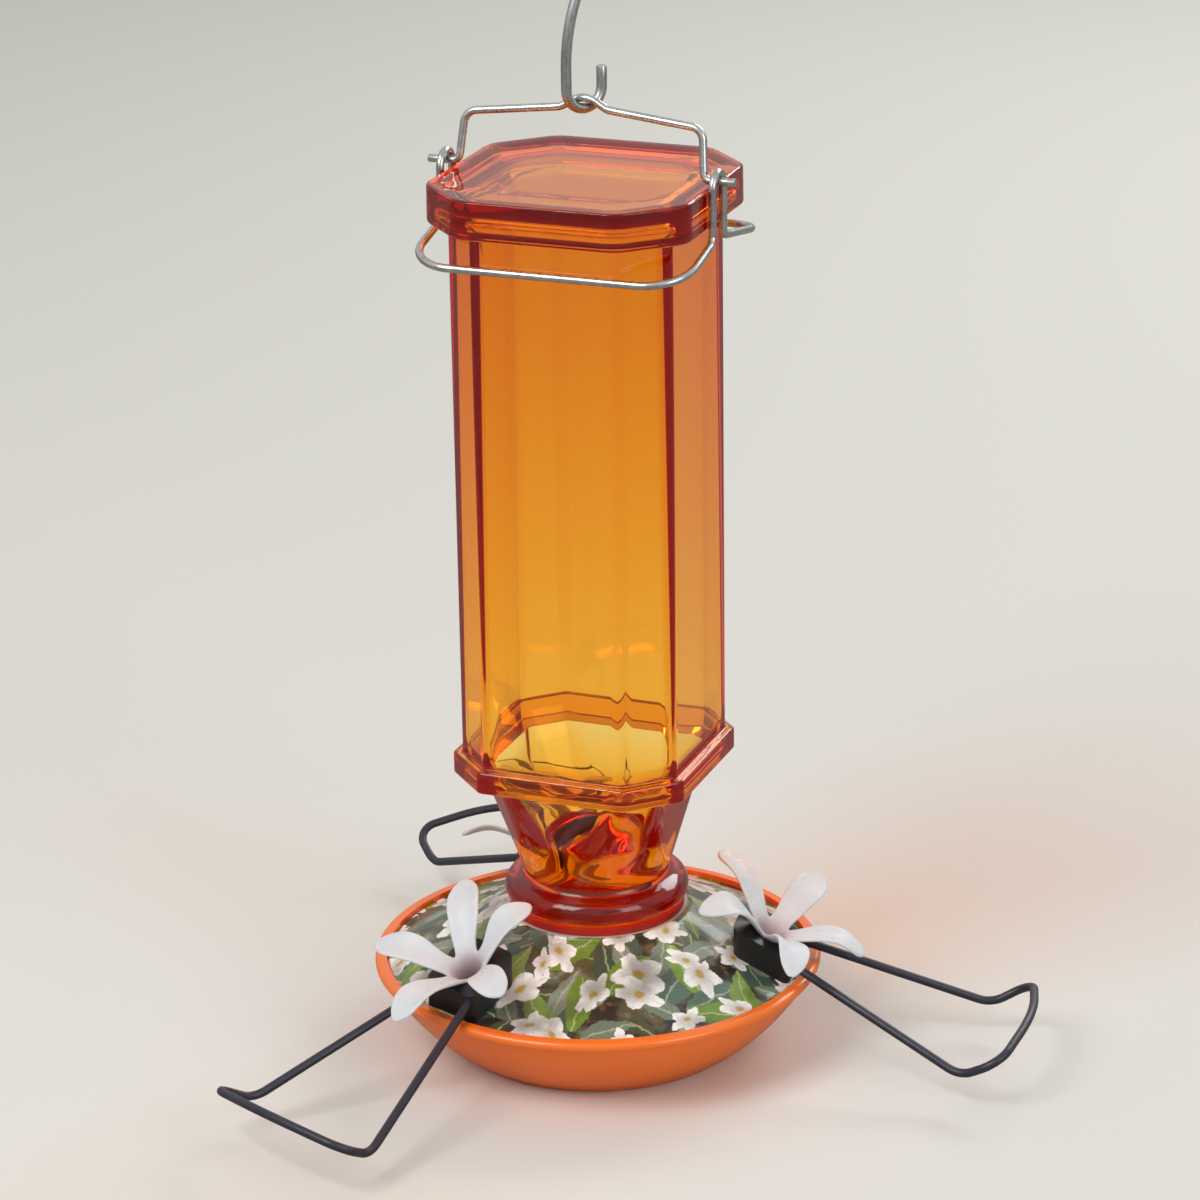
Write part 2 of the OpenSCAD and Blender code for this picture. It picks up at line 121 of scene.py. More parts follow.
def calc(tree, operation, *values, clamp=False):
    """The result of one Math node."""
    node = put(tree, "Math", dict(enumerate(values)), operation=operation, use_clamp=clamp)
    return node.outputs[0]


def blend_colour(tree, share, under, over):
    """Mixes two colours: share 0 shows the one under, 1 the one over."""
    node = put(tree, "Mix", data_type="RGBA")
    for socket, value in ((0, share), (6, under), (7, over)):
        if isinstance(value, bpy.types.NodeSocket):
            tree.links.new(value, node.inputs[socket])
        else:
            node.inputs[socket].default_value = value
    return node.outputs[2]


def soft_step(tree, value, start, end):
    """Goes from 0 to 1 as value goes from start to end, whichever is larger."""
    steps = {"Value": value, "From Min": start, "From Max": end}
    return put(tree, "MapRange", steps, interpolation_type="SMOOTHSTEP").outputs[0]


def srgb(red, green, blue):
    """A colour as a paint program gives it, 0 to 255, in the linear values that shaders use."""
    shares = [channel / 255 for channel in (red, green, blue)]
    return [((share + 0.055) / 1.055) ** 2.4 if share > 0.04 else share / 12.92 for share in shares] + [1]


def object_point(tree):
    """The shaded point in the object's own space, in metres."""
    return put(tree, "TexCoord").outputs["Object"]


def noise(tree, where, scale, detail, roughness=0.5):
    """A soft random value around a half, with so many waves to a metre."""
    settings = {"Vector": where, "Scale": scale, "Detail": detail, "Roughness": roughness}
    return put(tree, "TexNoise", settings).outputs[0]


def length_of(tree, vector):
    """The length of a vector."""
    return put(tree, "VectorMath", {0: vector}, operation="LENGTH").outputs[1]


def new_material(name, **shader):
    """A material with a Principled shader, and that shader's sockets set."""
    material = bpy.data.materials.new(name)
    material.use_nodes = True
    tree = material.node_tree
    surface = tree.nodes["Principled BSDF"]
    for key, value in shader.items():
        surface.inputs[key.replace("_", " ")].default_value = value
    return material, tree, surface


def give(material, *names):
    """Puts a material on CAD nodes by name."""
    for name in names:
        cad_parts[name].material_slots[0].material = material


# %% [markdown]
# ## A group for fine grain
#
# Moulded plastic, powder coat and zinc all have a fine unevenness: the gloss wanders a little, and the light
# breaks on tiny bumps. One node group makes it for all of them. It puts out a height for a Bump node and a
# roughness around a middle value, and each material chooses its own grain size and depth.

# %% Grain group
def value_group(name, numbers, values=(), colours=(), vectors=(), takes=()):
    """An empty node group with named inputs and outputs."""
    group = bpy.data.node_groups.new(name, "ShaderNodeTree")
    face = group.interface
    for label in takes:
        face.new_socket(label, in_out="INPUT", socket_type="NodeSocketVector")
    for label, start in numbers.items():
        face.new_socket(label, in_out="INPUT", socket_type="NodeSocketFloat").default_value = start
    for labels, kind in ((values, "Float"), (colours, "Color"), (vectors, "Vector")):
        for label in labels:
            face.new_socket(label, in_out="OUTPUT", socket_type="NodeSocket" + kind)
    return group, group.nodes.new("NodeGroupInput").outputs, group.nodes.new("NodeGroupOutput").inputs


grain, takes, gives = value_group(
    "surface grain",
    {"Grain": 0.4, "Drift": 12.0, "Roughness": 0.4, "Spread": 0.1},
    values=("Height", "Roughness"),
)
where = object_point(grain)
fine = noise(grain, where, calc(grain, "DIVIDE", 1 / MM, takes["Grain"]), 3.0)
broad = noise(grain, where, calc(grain, "DIVIDE", 1 / MM, takes["Drift"]), 4.0)
swing = calc(grain, "MULTIPLY", calc(grain, "SUBTRACT", broad, 0.5), takes["Spread"])
grain.links.new(fine, gives["Height"])
grain.links.new(calc(grain, "ADD", takes["Roughness"], swing, clamp=True), gives["Roughness"])


def add_grain(tree, surface, size, drift, roughness, spread, depth):
    """Gives a surface grain of a size in mm and a bump depth in mm."""
    node = put(tree, "Group", node_tree=grain)
    for key, value in (("Grain", size), ("Drift", drift), ("Roughness", roughness), ("Spread", spread)):
        node.inputs[key].default_value = value
    bump = put(tree, "Bump", {"Height": node.outputs["Height"], "Distance": depth * MM, "Strength": 0.6})
    tree.links.new(node.outputs["Roughness"], surface.inputs["Roughness"])
    tree.links.new(bump.outputs[0], surface.inputs["Normal"])


# %% [markdown]
# ## Orange glass
#
# Coloured glass isn't painted: light loses its blue and most of its green on the way through. A Volume
# Absorption inside a clear shader does the same, so a thin wall is a bright orange and a long way through a
# corner or the foot is a deep red, with no extra work. Light from lamps is let through the surface as
# tinted light, because a path tracer rarely finds a small lamp through glass.
#
# Light that is caught in a thick edge is reflected inside it many times, and a path tracer gives up on it and
# paints black. In real glass it still comes out, deep red. So a ray that has been reflected three times, or
# has met nine surfaces, ends in a dim red glow in place of nothing.

# %% Glass material
LAST_MIRRORING = 3
LAST_SURFACE = 9

glass, tree, surface = new_material("orange_glass", Transmission_Weight=1.0, IOR=1.5, Roughness=0.015)
surface.inputs["Base Color"].default_value = (1, 1, 1, 1)
output = tree.nodes["Material Output"]
lamp_tint = put(tree, "BsdfTransparent", {"Color": (0.97, 0.95, 0.92, 1)})
path = put(tree, "LightPath").outputs
mirrored_out = calc(tree, "GREATER_THAN", path["Glossy Depth"], LAST_MIRRORING - 0.5)
bent_out = calc(tree, "GREATER_THAN", path["Ray Depth"], LAST_SURFACE - 0.5)
caught = calc(tree, "MAXIMUM", mirrored_out, bent_out)
ember = put(tree, "Emission", {"Color": (0.3, 0.028, 0.003, 1), "Strength": 1.0})
clear = put(tree, "MixShader", {0: caught, 1: surface.outputs[0], 2: ember.outputs[0]})
pick = put(tree, "MixShader", {0: path["Is Shadow Ray"], 1: clear.outputs[0], 2: lamp_tint.outputs[0]})
tree.links.new(pick.outputs[0], output.inputs["Surface"])
body_tint = put(tree, "VolumeAbsorption", {"Color": (0.98, 0.76, 0.0, 1), "Density": 540.0})
tree.links.new(body_tint.outputs[0], output.inputs["Volume"])

# %% [markdown]
# ## The bottle
#
# A pressed glass bottle has a true form on the outside, with crisp but melted edges, and a softer one inside,
# where only air shaped it. Its corners are therefore thick, and that is why they look dark. The whole bottle
# is one closed surface drawn by a rising ring: the ring is extruded from height to height, and each of its
# points is laid on a circle, on the chamfered square, or somewhere between the two.
#
# Every point remembers the direction that it faces, and keeps it from the round neck to the square body. So a
# flat face of the body runs down into the funnel as a flat facet, as it does on the real bottle.
#
# Below, a size that ends in `_over` or `_in` says how far a part lies outside or inside the body's flat
# faces, and in the rows `out` says the same. The wall is thicker high up, near the heavy plinth.

# %% Sizes of the bottle
bottle_low, bottle_high = (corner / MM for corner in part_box("bottle"))
plinth_over = 6.1
plinth_h = 11.4
body_h = 160.6
flange_h = 6.7
flange_over = 2.5
funnel_h = 35.1
funnel_in = 5.0
bead_h = 8.5
bead_r = 27.5
neck_r = 22.3
neck_bore = 18.0
wall = 2.7
wall_high = 5.0
heel = 5.5
widest = -0.4
corner_cut = 12.0
edge_r = 3.0
plinth_r = 9.0
hollow_edge_r = 7.0

body_half = bottle_high.x - plinth_over
chamfer_at = (2 * body_half - corner_cut) / sqrt(2)
mouth_z, top_z = bottle_low.z, bottle_high.z
plinth_z = top_z - plinth_h
body_z = plinth_z - body_h
flange_z = body_z - flange_h
funnel_z = flange_z - funnel_h
bead_z = funnel_z - bead_h
print("bottle, mm:", round(2 * body_half, 1), "square,", round(top_z - mouth_z, 1), "tall")

# %% A ring that remembers where it faces
CORNERS = 8
CORNER_STEPS = 6


def square_point(facing, corner, out, soft):
    """Point of the softened, chamfered square that lies out mm outside the body."""
    reach = [body_half, chamfer_at]
    near = reach[corner % 2] + out - soft
    far = reach[(corner + 1) % 2] + out - soft
    turn = 2 * pi / CORNERS
    start = corner * turn
    along = (far - near * cos(turn)) / sin(turn)
    middle = Vector((near * cos(start) - along * sin(start), near * sin(start) + along * cos(start)))
    return middle + soft * Vector((cos(facing), sin(facing)))


def place(vert, layers, z, radius=None, out=None, share=1.0, soft=edge_r):
    """Lays a ring's point on a circle, on the square, or a share of the way between."""
    facing, corner = vert[layers[0]], vert[layers[1]]
    spot = Vector((0, 0))
    if radius is not None:
        spot = radius * Vector((cos(facing), sin(facing)))
    if out is not None:
        square = square_point(facing, corner, out, soft)
        spot = square if radius is None else spot.lerp(square, share)
    vert.co = Vector((spot.x, spot.y, z)) * MM


def raise_surface(rows):
    """A closed surface through the rows, each a dictionary of place()'s values."""
    bm = bmesh.new()
    layers = (bm.verts.layers.float.new("facing"), bm.verts.layers.int.new("corner"))
    count = CORNERS * (CORNER_STEPS + 1)
    first = bmesh.ops.create_circle(bm, segments=count, radius=1)["verts"]
    for index, vert in enumerate(sorted(first, key=lambda v: atan2(v.co.y, v.co.x) % (2 * pi))):
        corner, step = divmod(index, CORNER_STEPS + 1)
        vert[layers[0]] = 2 * pi / CORNERS * (corner + step / CORNER_STEPS)
        vert[layers[1]] = corner
        place(vert, layers, **rows[0])
    edge = list(bm.edges)
    bmesh.ops.contextual_create(bm, geom=edge)
    for row in rows[1:]:
        grown = bmesh.ops.extrude_edge_only(bm, edges=edge)["geom"]
        for item in grown:
            if isinstance(item, bmesh.types.BMVert):
                place(item, layers, **row)
        edge = [item for item in grown if isinstance(item, bmesh.types.BMEdge) and item.is_boundary]
    bmesh.ops.contextual_create(bm, geom=edge)
    bmesh.ops.remove_doubles(bm, verts=bm.verts, dist=0.002 * MM)
    bmesh.ops.dissolve_degenerate(bm, edges=bm.edges, dist=0.001 * MM)
    bmesh.ops.recalc_face_normals(bm, faces=bm.faces)
    return bm


def piece(bm, name, material, body):
    """Makes a mesh object of a bmesh, with its material and the body that it rides on."""
    mesh = bpy.data.meshes.new(name)
    bm.to_mesh(mesh)
    bm.free()
    mesh.materials.append(material)
    mesh.shade_smooth()
    thing = bpy.data.objects.new(name, mesh)
    bpy.context.scene.collection.objects.link(thing)
    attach(thing, body)
    return thing


# %% [markdown]
# The rows run from the ceiling of the hollow down the inside to the mouth, round the lip, and up the outside
# over bead, funnel, flange, body and plinth to the shallow dish in the top. A melted edge is a quarter turn
# of a few rows.

# %% Rows of the bottle
def quarter(z, out, dz, dout, steps=4, late=False):
    """Rows round a quarter of an edge: it starts along dz, or along dout if late."""
    rows = []
    for step in range(1, steps + 1):
        a = step / steps * pi / 2
        along, across = (1 - cos(a), sin(a)) if late else (sin(a), 1 - cos(a))
        rows.append({"z": z + dz * along, "out": out + dout * across})
    return rows


def half_round(z, radius, r, steps=10):
    """Rows round the outside of a bead whose middle is at height z and radius."""
    turns = [pi * (step / steps - 0.5) for step in range(steps + 1)]
    return [{"z": z + r * sin(a), "radius": radius + r * cos(a)} for a in turns]


lip_r = 1.1
flange_lip = 0.7
fillet = 1.6
mouth_cut = 1.0
ceiling = top_z - heel
ceiling_r = 3.0
throat_z = funnel_z + 9
floor_z = body_z - 1.0

inside = [{"z": ceiling, "out": widest - 3 * ceiling_r}]
inside += quarter(ceiling, widest - ceiling_r, -ceiling_r, ceiling_r, late=True)
inside += quarter(plinth_z + 2.2, widest, -1.6, -(widest + wall_high) / 2)
inside += [{"z": plinth_z - 1.5, "out": -wall_high}]
inside += [{"z": floor_z + 6, "out": -wall}, {"z": floor_z + 2, "out": -wall - 0.8}]
for share in (0.93, 0.8, 0.6, 0.4, 0.2):
    z = throat_z + share * (floor_z - throat_z)
    inside += [{"z": z, "radius": neck_bore, "out": -wall - 0.4, "share": share}]
inside = [dict(row, soft=hollow_edge_r) for row in inside]
inside += [{"z": z, "radius": neck_bore} for z in (throat_z - 2, mouth_z + mouth_cut)]
inside += [{"z": mouth_z, "radius": neck_bore + mouth_cut}]

outside = [{"z": mouth_z, "radius": neck_r - mouth_cut}, {"z": mouth_z + mouth_cut, "radius": neck_r}]
outside += [{"z": bead_z - 0.3, "radius": neck_r}]
outside += half_round(bead_z + bead_h / 2, bead_r - bead_h / 2, bead_h / 2)
outside += [{"z": funnel_z + 0.5, "radius": neck_r + 0.1}, {"z": funnel_z + 1.6, "radius": neck_r - 0.4}]
foot_z = funnel_z + 0.07 * funnel_h
for share in (0.0, 0.2, 0.4, 0.6, 0.8, 0.97):
    z = foot_z + share * (flange_z + 1 - foot_z)
    outside += [{"z": z, "radius": neck_r - 0.4, "out": -funnel_in, "share": share}]
outside += [{"z": flange_z, "out": out} for out in (-funnel_in + 0.8, flange_over - flange_lip - 0.6)]
outside += quarter(flange_z, flange_over - flange_lip, flange_lip, flange_lip, late=True)
outside += [{"z": body_z - flange_lip, "out": flange_over}]
outside += quarter(body_z - flange_lip, flange_over, flange_lip, -flange_lip)
outside += quarter(body_z, fillet * 0.3, fillet, -fillet * 0.3, late=True)
outside += quarter(plinth_z - fillet, 0, fillet, fillet)
plinth = [{"z": plinth_z, "out": plinth_over - lip_r - 0.5}]
plinth += quarter(plinth_z, plinth_over - lip_r, lip_r, lip_r, late=True)
plinth += quarter(top_z - lip_r, plinth_over, lip_r, -lip_r)
dish = ((0, plinth_over - lip_r - 2.6), (0.7, plinth_over - lip_r - 4.2), (1.2, -2.6), (1.2, -9))
plinth += [{"z": top_z - deep, "out": out} for deep, out in dish]
outside += [dict(row, soft=plinth_r) for row in plinth]

bottle = piece(raise_surface(inside + outside), "glass_bottle", glass, "bottle")
flat_sides = bottle.modifiers.new("flat_sides", "WEIGHTED_NORMAL")
flat_sides.mode = "FACE_AREA"
flat_sides.weight = 90
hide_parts("bottle")
print("bottle faces:", len(bottle.data.polygons))

# %% [markdown]
# ## Blossoms
#
# Each feeding port is a moulded blossom: a hollow stem that opens into a trumpet, and five petals that rise,
# arch over and let their tips hang. A blossom like this is one sheet, so it is drawn as one. A ring of points
# is extruded up the stem and out through the trumpet. From there the edge goes on in five separate strips,
# one for each petal, which leave a notch between them. Solidify gives the sheet its thickness, and a
# Subdivision Surface rounds every edge. The petals are soft, so on each blossom they have been bent a little
# aside, out or down, and a small table says how each of the fifteen lies.

# %% Sizes and places of the blossoms
PETALS = 5
strips = 5
petal_steps = 11
petal_reach = 27.3
petal_half = 5.2
petal_rise = 7.6
petal_tip_drop = 2.2
petal_cup = 0.9
petal_groove = 0.35
petal_ripple = 0.25
petal_turn = radians(7)
root_share = 0.88
mid_wall = 0.62
SWAY = (
    ((0, 0.4, -0.1), (1, 1.5, -4.0), (1, 1.2, -1.5), (0, 1.5, 2.8), (0, 1.2, 2.8)),
    ((2, 0.3, 0.5), (-3, 0.8, -0.8), (1, -0.4, 0.6), (-2, 1.0, -1.2), (3, 0.2, 0.9)),
    ((-7.5, 1.7, 0.0), (-5.5, -0.6, -0.8), (8, -2.1, -1.1), (-5.5, 1.4, -1.9), (-5.5, 1.0, -2.0)),
)
port_turn = radians(5.7)
port_at = 50.2
cover_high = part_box("cover")[1] / MM
cone_r = cover_high.x - 1.7
collar_r = 28.5
cover_rise = 16.6
slope = atan2(cover_rise, cone_r - collar_r)
port_z = cover_high.z - cover_rise + (cone_r - port_at) * tan(slope)
print("cover's slope, degrees:", round(degrees(slope), 2))


def port_frame(k):
    """Where port k stands: its Z is square on the cover and its X points down the slope."""
    around = Matrix.Rotation(port_turn + 2 * pi / 3 * k, 4, "Z")
    return around @ Matrix.Translation(Vector((port_at, 0, port_z)) * MM) @ Matrix.Rotation(slope, 4, "Y")


# %% The sheet of one blossom
trumpet = [(-6, 3.65), (-2, 3.65), (2, 3.65), (4.2, 3.95), (5.8, 4.5), (7.2, 5.2), (8.3, 6.1)]


def petal_width(u):
    """Half width of a petal, a share u of the way from trumpet to tip."""
    full = petal_half * (0.58 + 0.42 * sin(pi / 2 * min(1, u / 0.62)))
    return full if u < 0.6 else full * sqrt(max(0.0, 1 - ((u - 0.6) / 0.405) ** 2))


def petal_point(k, number, across, u):
    """Point of a petal of blossom k: across it from -1 to 1, and u from trumpet to tip."""
    start_w, start_r = trumpet[-1]
    aside, longer, lower = SWAY[k][number]
    reach = start_r + u * (petal_reach + longer - start_r)
    droop = (petal_tip_drop + lower) * max(0.0, (u - 0.5) / 0.5) ** 2
    arch = petal_rise * sin(pi / 2 * min(1.0, u / 0.72)) - droop
    cup = petal_cup * across**2 * sin(pi * min(1, u + 0.1)) - petal_groove * (1 - across**2) * sin(pi * u)
    ripple = petal_ripple * sin(7 * u + 2.1 * number) * across
    side = across * petal_width(u)
    bent = 0.03 * sin(3.0 * number) * u + radians(aside) * min(1, 3 * u)
    a = petal_turn + 2 * pi / PETALS * number + bent
    x, y = reach * cos(a) - side * sin(a), reach * sin(a) + side * cos(a)
    return Vector((x, y, start_w + arch + cup + ripple)) * MM


def blossom_sheet(k):
    """The open sheet of blossom k in its port's frame, with a depth value on its points for the painted
    shade.
    """
    bm = bmesh.new()
    number = bm.verts.layers.int.new("number")
    across = bm.verts.layers.float.new("across")
    depth = bm.verts.layers.float.new("depth")
    per_petal = strips + 1
    ring = bmesh.ops.create_circle(bm, segments=PETALS * per_petal, radius=1)["verts"]
    for index, vert in enumerate(sorted(ring, key=lambda v: atan2(v.co.y, v.co.x) % (2 * pi))):
        vert[number], step = divmod(index, per_petal)
        vert[across] = 2 * step / strips - 1
    edge = list(bm.edges)
    for row, (w, radius) in enumerate(trumpet):
        verts = {v for e in edge for v in e.verts}
        if row:
            grown = bmesh.ops.extrude_edge_only(bm, edges=edge)["geom"]
            verts = [g for g in grown if isinstance(g, bmesh.types.BMVert)]
            edge = [g for g in grown if isinstance(g, bmesh.types.BMEdge) and len(g.link_faces) == 1]
        for vert in verts:
            spread = root_share * pi / PETALS * vert[across]
            a = petal_turn + 2 * pi / PETALS * vert[number] + spread
            vert.co = Vector((radius * cos(a), radius * sin(a), w)) * MM
            vert[depth] = max(0.0, min(1.0, (w - 2) / 7))
    edge = [e for e in edge if e.verts[0][number] == e.verts[1][number]]
    for row in range(1, petal_steps + 1):
        u = row / petal_steps
        grown = bmesh.ops.extrude_edge_only(bm, edges=edge)["geom"]
        edge = [g for g in grown if isinstance(g, bmesh.types.BMEdge) and len(g.link_faces) == 1]
        edge = [e for e in edge if e.verts[0][across] != e.verts[1][across]]
        for vert in (g for g in grown if isinstance(g, bmesh.types.BMVert)):
            vert.co = petal_point(k, vert[number], vert[across], u)
            vert[depth] = 1 + u
    bmesh.ops.recalc_face_normals(bm, faces=bm.faces)
    return bm


# %% [markdown]
# The petals are a pearly white plastic with a dust of glitter. Deep in the trumpet the white is painted a
# warm grey pink, as shade. Glitter is many tiny flat mirrors, each tilted its own way. A Voronoi texture
# gives every cell one random value, and a bump made of those values tilts each cell, so that a few of them
# flash.

# %% Petal material
petal_white, tree, surface = new_material("petal_white", Specular_IOR_Level=0.5)
where = object_point(tree)
depth = put(tree, "Attribute", attribute_name="depth").outputs["Fac"]
# Painted shade: deep in the trumpet the white is darkened to a warm grey pink, as the recess lies in shade.
throat_shade = soft_step(tree, depth, 1.25, 0.35)
cloud = noise(tree, where, 160.0, 3.0)
white = blend_colour(tree, cloud, srgb(206, 210, 216), srgb(226, 230, 235))
throat_shaded_white = blend_colour(tree, calc(tree, "MULTIPLY", throat_shade, 0.85), white, srgb(176, 150, 152))
flake_size = 0.42 * MM
flakes = put(tree, "TexVoronoi", {"Vector": where, "Scale": 1 / flake_size})
flash = soft_step(tree, put(tree, "SeparateColor", {0: flakes.outputs["Color"]}).outputs[0], 0.8, 0.9)
gloss = calc(tree, "SUBTRACT", 0.55, calc(tree, "MULTIPLY", flash, 0.3))
tilt = put(tree, "Bump", {"Height": flakes.outputs["Color"], "Distance": 0.05 * MM, "Strength": 0.35})
for source, socket in ((throat_shaded_white, "Base Color"), (gloss, "Roughness"), (tilt.outputs[0], "Normal")):
    tree.links.new(source, surface.inputs[socket])

# %% Make the three blossoms
for k in range(3):
    sheet = blossom_sheet(k)
    bmesh.ops.transform(sheet, matrix=port_frame(k), verts=sheet.verts)
    name = f"flower_{k + 1}"
    blossom = piece(sheet, f"blossom_{k + 1}", petal_white, name)
    thick = blossom.modifiers.new("thickness", "SOLIDIFY")
    thick.thickness = 2 * mid_wall * MM
    thick.offset = 0
    rounded = blossom.modifiers.new("rounded", "SUBSURF")
    rounded.levels = rounded.render_levels = 2
    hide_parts(name)
print("blossom faces before thickness:", len(blossom.data.polygons))

# %% [markdown]
# ## The printed cover
#
# The cover carries a print of leaves and blossoms. A print is flat colour, so the shader draws it. Scattered
# motifs come from a Voronoi texture used as a stamp: it says for each point which cell it is in and where
# that cell's middle lies. The vector from that middle, turned by a random angle, is a small frame of its own,
# and in it one formula draws a leaf and another a blossom. Layers of stamps are laid over a dark, mottled
# ground, the blossoms last.

# %% Stamp group
stamps, takes, gives = value_group(
    "scattered stamps",
    {"Spacing": 15.0, "Looseness": 0.7, "Start": 0.0},
    colours=("Pick",),
    vectors=("Local",),
    takes=("Vector",),
)
shift = put(stamps, "CombineXYZ", {0: takes["Start"], 1: takes["Start"]}).outputs[0]
spot = put(stamps, "VectorMath", {0: takes["Vector"], 1: shift}, operation="ADD").outputs[0]
one_cell = calc(stamps, "DIVIDE", 1 / MM, takes["Spacing"])
cells = put(
    stamps,
    "TexVoronoi",
    {"Vector": spot, "Scale": one_cell, "Randomness": takes["Looseness"]},
    voronoi_dimensions="2D",
)
middle = cells.outputs["Position"]
offset = put(stamps, "VectorMath", {0: spot, 1: middle}, operation="SUBTRACT").outputs[0]
turn = put(stamps, "SeparateColor", {0: cells.outputs["Color"]}).outputs[0]
turning = {"Vector": offset, "Angle": calc(stamps, "MULTIPLY", turn, 2 * pi)}
turned = put(stamps, "VectorRotate", turning, rotation_type="Z_AXIS").outputs[0]
local = put(stamps, "VectorMath", {0: turned, "Scale": 1 / MM}, operation="SCALE").outputs[0]
stamps.links.new(local, gives["Local"])
stamps.links.new(cells.outputs["Color"], gives["Pick"])


def stamp(tree, where, spacing, looseness, start):
    """A layer of stamps: the point in mm in its stamp's own frame, and the stamp's random values."""
    node = put(tree, "Group", node_tree=stamps)
    tree.links.new(where, node.inputs["Vector"])
    for key, value in (("Spacing", spacing), ("Looseness", looseness), ("Start", start * MM)):
        node.inputs[key].default_value = value
    across = put(tree, "SeparateXYZ", {0: node.outputs["Local"]})
    pick = put(tree, "SeparateColor", {0: node.outputs["Pick"]})
    return across.outputs[0], across.outputs[1], pick.outputs[1], pick.outputs[2]


# %% A leaf and a blossom in a stamp's own frame
def leaf(tree, x, y, half_length, half_width):
    """Masks of a pointed leaf along X: its whole, its midrib and veins, and the half that is in shade."""
    along = calc(tree, "DIVIDE", x, half_length)
    taper = calc(tree, "SUBTRACT", 1.0, calc(tree, "MULTIPLY", along, along), clamp=True)
    lean = calc(tree, "MULTIPLY_ADD", along, -0.35, 1.0)
    edge = calc(tree, "MULTIPLY", calc(tree, "MULTIPLY", taper, lean), half_width)
    bend = calc(tree, "MULTIPLY_ADD", calc(tree, "MULTIPLY", along, along), 0.25 * half_width, y)
    off = calc(tree, "ABSOLUTE", bend)
    body = soft_step(tree, calc(tree, "SUBTRACT", edge, off), 0.0, 0.35)
    rib = soft_step(tree, off, 0.4, 0.12)
    slanted = calc(tree, "MULTIPLY_ADD", off, -1.5, x)
    comb = calc(tree, "SINE", calc(tree, "MULTIPLY", slanted, 2.6))
    veins = soft_step(tree, comb, 0.5, 1.0)
    shade = soft_step(tree, bend, -0.2, 0.2)
    return body, rib, veins, shade


def blossom_stamp(tree, x, y, length, half_width):
    """Masks of five petals, their centre and their creases, and how far out a point lies."""
    r = length_of(tree, put(tree, "CombineXYZ", {0: x, 1: y}).outputs[0])
    turn = calc(tree, "ARCTAN2", y, x)
    fold = calc(tree, "WRAP", turn, pi / PETALS, -pi / PETALS)
    u = calc(tree, "MULTIPLY", r, calc(tree, "COSINE", fold))
    v = calc(tree, "MULTIPLY", r, calc(tree, "SINE", fold))
    half = length / 2
    u_part = calc(tree, "POWER", calc(tree, "DIVIDE", calc(tree, "SUBTRACT", u, half), half), 2.0)
    v_part = calc(tree, "POWER", calc(tree, "DIVIDE", v, half_width), 2.0)
    petals = soft_step(tree, calc(tree, "ADD", u_part, v_part), 1.1, 0.85)
    centre = soft_step(tree, r, length * 0.26, length * 0.12)
    crease = soft_step(tree, calc(tree, "ABSOLUTE", v), 0.4, 0.05)
    outwards = soft_step(tree, u, length * 0.2, length * 0.8)
    return petals, centre, crease, outwards


def another(tree, value, spread):
    """A second random value drawn from the first."""
    return calc(tree, "FRACT", calc(tree, "MULTIPLY", value, spread))


# %% [markdown]
# The motifs are neither all alike nor all seen square on. A second random value makes each one larger or
# smaller, and a third squeezes it, as a blossom looks when it faces sideways. Everything is drawn through a
# slight wander, so that no edge is a perfect curve, and a wash of shade over the whole print gives it depth.
# Ink lies only on the cover's upper side, so below that the plain moulding shows.

# %% Print material
printed, tree, surface = new_material("blossom_print", Coat_Weight=0.4, Coat_Roughness=0.1, Roughness=0.4)
where = object_point(tree)
wander = put(tree, "TexNoise", {"Vector": where, "Scale": 210.0, "Detail": 4.0, "Roughness": 0.65})
farthest = 3.4 * MM
nudge = put(tree, "VectorMath", {0: wander.outputs["Color"], "Scale": farthest}, operation="SCALE").outputs[0]
drawn = put(tree, "VectorMath", {0: where, 1: nudge}, operation="ADD").outputs[0]
patches = noise(tree, where, 95.0, 4.0, 0.6)
streaks = noise(tree, where, 340.0, 3.0)
ground = blend_colour(tree, soft_step(tree, patches, 0.42, 0.58), srgb(26, 22, 16), srgb(84, 80, 54))
ground = blend_colour(tree, soft_step(tree, patches, 0.56, 0.7), ground, srgb(134, 144, 126))
ground = blend_colour(tree, soft_step(tree, streaks, 0.54, 0.7), ground, srgb(104, 74, 44))
leaf_layers = (
    (12.0, 0.9, 3.0, 8.0, 2.4, srgb(44, 52, 30), srgb(80, 80, 38)),
    (18.0, 0.9, 47.0, 12.5, 4.8, srgb(86, 114, 100), srgb(46, 72, 54)),
    (15.0, 0.9, 62.0, 9.5, 3.2, srgb(150, 160, 144), srgb(98, 114, 94)),
    (17.0, 0.9, 91.0, 11.0, 4.2, srgb(140, 172, 54), srgb(86, 120, 30)),
)
colour = ground
for spacing, looseness, start, half_length, half_width, pale, deep in leaf_layers:
    x, y, shade_pick, keep_pick = stamp(tree, drawn, spacing, looseness, start)
    body, rib, veins, shade = leaf(tree, x, y, half_length, half_width)
    tone = blend_colour(tree, shade_pick, pale, deep)
    tone = blend_colour(tree, calc(tree, "MULTIPLY", shade, 0.35), tone, deep)
    tone = blend_colour(tree, calc(tree, "MULTIPLY", veins, 0.22), tone, srgb(40, 52, 26))
    tone = blend_colour(tree, calc(tree, "MULTIPLY", rib, 0.45), tone, srgb(206, 214, 168))
    shown = calc(tree, "MULTIPLY", body, soft_step(tree, keep_pick, 0.2, 0.22))
    colour = blend_colour(tree, shown, colour, tone)
